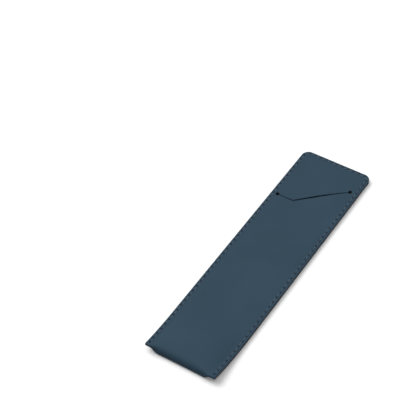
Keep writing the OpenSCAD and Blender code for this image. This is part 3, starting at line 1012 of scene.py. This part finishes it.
def backing_material(finish):
    """Fleece backing: matt, with a fuzzy fine bump, faint fibres in its colour, a soft sheen, and painted
    shade inside the pocket.
    """
    material, tree, shader = new_material("fleece_backing")
    place = object_place(tree)
    strands = noise(tree, place, STRANDS, 4.0, 0.65)
    rim = mixed(tree, strands, times(finish.backing, 0.55), times(finish.backing, 1.5))
    # Painted shade: a near-black copy of the fleece for inside the pocket
    inside = mixed(tree, strands, times(finish.pocket, 0.55), times(finish.pocket, 1.5))
    feed(tree, shader, {
        "Base Color": mixed(tree, attribute(tree, "painted_shade"), rim, inside),
        "Roughness": 0.92,
        "Specular IOR Level": 0.15,
        "Sheen Weight": 0.12,
        "Sheen Roughness": 0.5,
        "Normal": bump(tree, noise(tree, place, FUZZ, 3.0, 0.7), FUZZ_DEPTH, 0.7),
    })
    return material


def thread_material(finish):
    """Bonded thread: slanted ridges of its twisted strands, run by the thread's own length and turn, with
    painted shade in the grooves between strands and where it dives into the needle holes.
    """
    material, tree, shader = new_material("bonded_thread")
    turns = 2 * math.pi / finish.twist
    spiral = maths(tree, "MULTIPLY_ADD", attribute(tree, "along"), turns, attribute(tree, "round"))
    wave = maths(tree, "SINE", maths(tree, "MULTIPLY", spiral, STRAND_COUNT))
    ridge = maths(tree, "MULTIPLY_ADD", wave, 0.5, 0.5)
    # Painted shade in the grooves between the strands
    colour = mixed(tree, ridge, times(finish.thread, 0.6), finish.thread)
    soft = bump(tree, noise(tree, object_place(tree), FIBRE, 2.0, 0.5), FIBRE_DEPTH, 0.4)
    feed(tree, shader, {
        "Base Color": mixed(tree, attribute(tree, "painted_shade"), colour, finish.painted_shade_colour),
        "Roughness": 0.5,
        "Specular IOR Level": 0.35,
        "Sheen Weight": 0.1,
        "Normal": bump(tree, ridge, RIDGE_DEPTH, 0.8, Normal=soft),
    })
    return material


def finished(obj, material, node, body=None):
    """Gives a piece its material and slot, lets it stand for its node, and sets it on its body."""
    obj.data.materials.append(material)
    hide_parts(node)
    if body:
        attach(obj, body)


class PieceBuilder:
    """What the operators that build pieces share: they read the pattern and the finish."""

    bl_options = {"REGISTER", "UNDO"}

    def execute(self, context):
        self.build(Pattern(context.scene), context.scene.pen_sleeve_finish)
        return {"FINISHED"}


class OBJECT_OT_pen_sleeve_leather(PieceBuilder, bpy.types.Operator):
    """Build the coated face ply of the folded strip and of the tongue"""

    bl_idname = "object.pen_sleeve_leather"
    bl_label = "Add Leather"

    def build(self, pattern, finish):
        material = face_material(finish)
        face_t = pattern.form.face_thickness
        skin = Skin()
        outer = worked_skin(skin, pattern)
        join_skins(skin, outer, plain_skin(skin, pattern, face_t), CUT_SHADE, LIP_SHADE)
        finished(skin.build("face_ply"), material, "outer_leather", "sleeve")
        tongue = tongue_ply("tongue_face", pattern, 0.0, face_t, 1.0, LIP_SHADE)
        finished(tongue, material, "tongue_leather")


class OBJECT_OT_pen_sleeve_backing(PieceBuilder, bpy.types.Operator):
    """Build the fleece backing bonded under the face ply, and the tongue's part of it"""

    bl_idname = "object.pen_sleeve_backing"
    bl_label = "Add Backing"

    def build(self, pattern, finish):
        material = backing_material(finish)
        face_t = pattern.form.face_thickness
        skin = Skin()
        outer = plain_skin(skin, pattern, face_t)
        # The pocket side of the backing and the walls of the slit get the painted pocket shade
        join_skins(skin, outer, plain_skin(skin, pattern, pattern.sheet, 1.0), 0.0, 1.0)
        finished(skin.build("backing_ply"), material, "inner_backing", "sleeve")
        tongue = tongue_ply("tongue_fleece", pattern, face_t, pattern.sheet, 0.0, 1.0)
        finished(tongue, material, "tongue_backing")


class OBJECT_OT_pen_sleeve_stitches(PieceBuilder, bpy.types.Operator):
    """Build the stitches of the needle thread over the front and of the bobbin thread under the back"""

    bl_idname = "object.pen_sleeve_stitches"
    bl_label = "Add Stitches"

    def build(self, pattern, finish):
        material = thread_material(finish)
        finished(stitches("needle_stitches", pattern, 1), material, "needle_thread", "sleeve")
        finished(stitches("bobbin_stitches", pattern, -1), material, "bobbin_thread", "sleeve")


class OBJECT_OT_pen_sleeve_stage(bpy.types.Operator):
    """Build the white floor, the even sky, the large soft lamp and the camera"""

    bl_idname = "object.pen_sleeve_stage"
    bl_label = "Add Stage"
    bl_options = {"REGISTER", "UNDO"}

    def execute(self, context):
        scene = context.scene
        stage = scene.pen_sleeve_stage
        self.add_floor(stage)
        self.add_sky(scene, stage)
        self.add_lamp(stage)
        self.add_camera(scene, stage)
        scene.view_settings.view_transform = "Standard"
        return {"FINISHED"}

    def add_floor(self, stage):
        """A flat white square that keeps the shadow, with a little glow for the camera alone."""
        reach = stage.floor_size / 2
        mesh = bpy.data.meshes.new("floor")
        corners = [(-reach, -reach, 0), (reach, -reach, 0), (reach, reach, 0), (-reach, reach, 0)]
        mesh.from_pydata(corners, [], [(0, 1, 2, 3)])
        floor = placed("floor", mesh)
        material, tree, shader = new_material("white_floor")
        seen = seen_rays(tree)
        more = stage.floor_white - stage.floor_bounce
        feed(tree, shader, {
            "Base Color": maths(tree, "MULTIPLY_ADD", seen, more, stage.floor_bounce),
            "Roughness": 1.0,
            "Specular IOR Level": 0.0,
            "Emission Color": WHITE,
            "Emission Strength": maths(tree, "MULTIPLY", seen, stage.floor_fill),
        })
        mesh.materials.append(material)

    def add_sky(self, scene, stage):
        """Soft light from all round, stronger from above and from behind the sleeve, which camera, gloss
        and glass see as plain white."""
        world = scene.world or bpy.data.worlds.new("studio")
        scene.world = world
        world.use_nodes = True
        tree = world.node_tree
        tree.nodes.clear()
        seen = seen_rays(tree)
        ways = {0: add_node(tree, "TexCoord", {}, "Generated"),
                1: towards(stage.sky_azimuth, stage.sky_elevation)}
        lean = add_node(tree, "VectorMath", ways, "Value", operation="DOT_PRODUCT")
        part = maths(tree, "MULTIPLY_ADD", lean, stage.sky_lean, 1.0)
        part = maths(tree, "POWER", maths(tree, "DIVIDE", part, 1.0 + stage.sky_lean), stage.sky_focus)
        soft = maths(tree, "MULTIPLY", part, stage.sky)
        glow = maths(tree, "MULTIPLY_ADD", soft, maths(tree, "SUBTRACT", 1.0, seen), seen)
        light = add_node(tree, "Background", {"Color": WHITE, "Strength": glow})
        feed(tree, tree.nodes.new("ShaderNodeOutputWorld"), {"Surface": light})

    def add_lamp(self, stage):
        """A distant lamp as wide as a studio softbox, from the upper left."""
        light = bpy.data.lights.new("softbox", "SUN")
        light.energy = stage.key
        light.angle = stage.key_softness
        lamp = placed("softbox", light)
        lamp.location = towards(stage.key_azimuth, stage.key_elevation)
        lamp.rotation_mode = "QUATERNION"
        lamp.rotation_quaternion = lamp.location.to_track_quat("Z", "Y")

    def add_camera(self, scene, stage):
        """The camera at the photograph's viewing angle."""
        lens = bpy.data.cameras.new("camera")
        lens.sensor_width = 36.0
        lens.lens = stage.lens
        lens.clip_start = 0.01
        lens.clip_end = 50.0
        camera = placed("camera", lens)
        camera.location = stage.camera_place
        level = (Vector(stage.camera_aim) - Vector(stage.camera_place)).to_track_quat("-Z", "Y")
        camera.rotation_mode = "QUATERNION"
        camera.rotation_quaternion = level @ Quaternion((0.0, 0.0, 1.0), stage.camera_roll)
        scene.camera = camera


class VIEW3D_PT_pen_sleeve(bpy.types.Panel):
    """Sizes, colours and buttons of the pen sleeve"""

    bl_label = "Pen Sleeve"
    bl_idname = "VIEW3D_PT_pen_sleeve"
    bl_space_type = "VIEW_3D"
    bl_region_type = "UI"
    bl_category = "Pen Sleeve"

    def draw(self, context):
        layout = self.layout
        for operator in OPERATORS:
            layout.operator(operator.bl_idname)
        for label, group in GROUPS.items():
            box = layout.box()
            box.label(text=label.replace("pen_sleeve_", "").title())
            for name in group.__annotations__:
                box.prop(getattr(context.scene, label), name, text=name.replace("_", " ").title())


GROUPS = {
    "pen_sleeve_form": PenSleeveForm,
    "pen_sleeve_mouth": PenSleeveMouth,
    "pen_sleeve_seam": PenSleeveSeam,
    "pen_sleeve_finish": PenSleeveFinish,
    "pen_sleeve_stage": PenSleeveStage,
}
OPERATORS = (
    OBJECT_OT_pen_sleeve_leather,
    OBJECT_OT_pen_sleeve_backing,
    OBJECT_OT_pen_sleeve_stitches,
    OBJECT_OT_pen_sleeve_stage,
)


def register():
    """Registers the settings, the operators and the panel."""
    for label, group in GROUPS.items():
        bpy.utils.register_class(group)
        setattr(bpy.types.Scene, label, PointerProperty(type=group))
    for operator in OPERATORS:
        bpy.utils.register_class(operator)
    bpy.utils.register_class(VIEW3D_PT_pen_sleeve)


def unregister():
    """Takes the panel, the operators and the settings away again."""
    bpy.utils.unregister_class(VIEW3D_PT_pen_sleeve)
    for operator in reversed(OPERATORS):
        bpy.utils.unregister_class(operator)
    for label, group in reversed(list(GROUPS.items())):
        delattr(bpy.types.Scene, label)
        bpy.utils.unregister_class(group)


def main():
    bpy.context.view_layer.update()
    register()
    bpy.ops.object.pen_sleeve_leather()
    bpy.ops.object.pen_sleeve_backing()
    bpy.ops.object.pen_sleeve_stitches()
    bpy.ops.object.pen_sleeve_stage()
    bpy.context.view_layer.update()


if __name__ == "__main__":
    main()
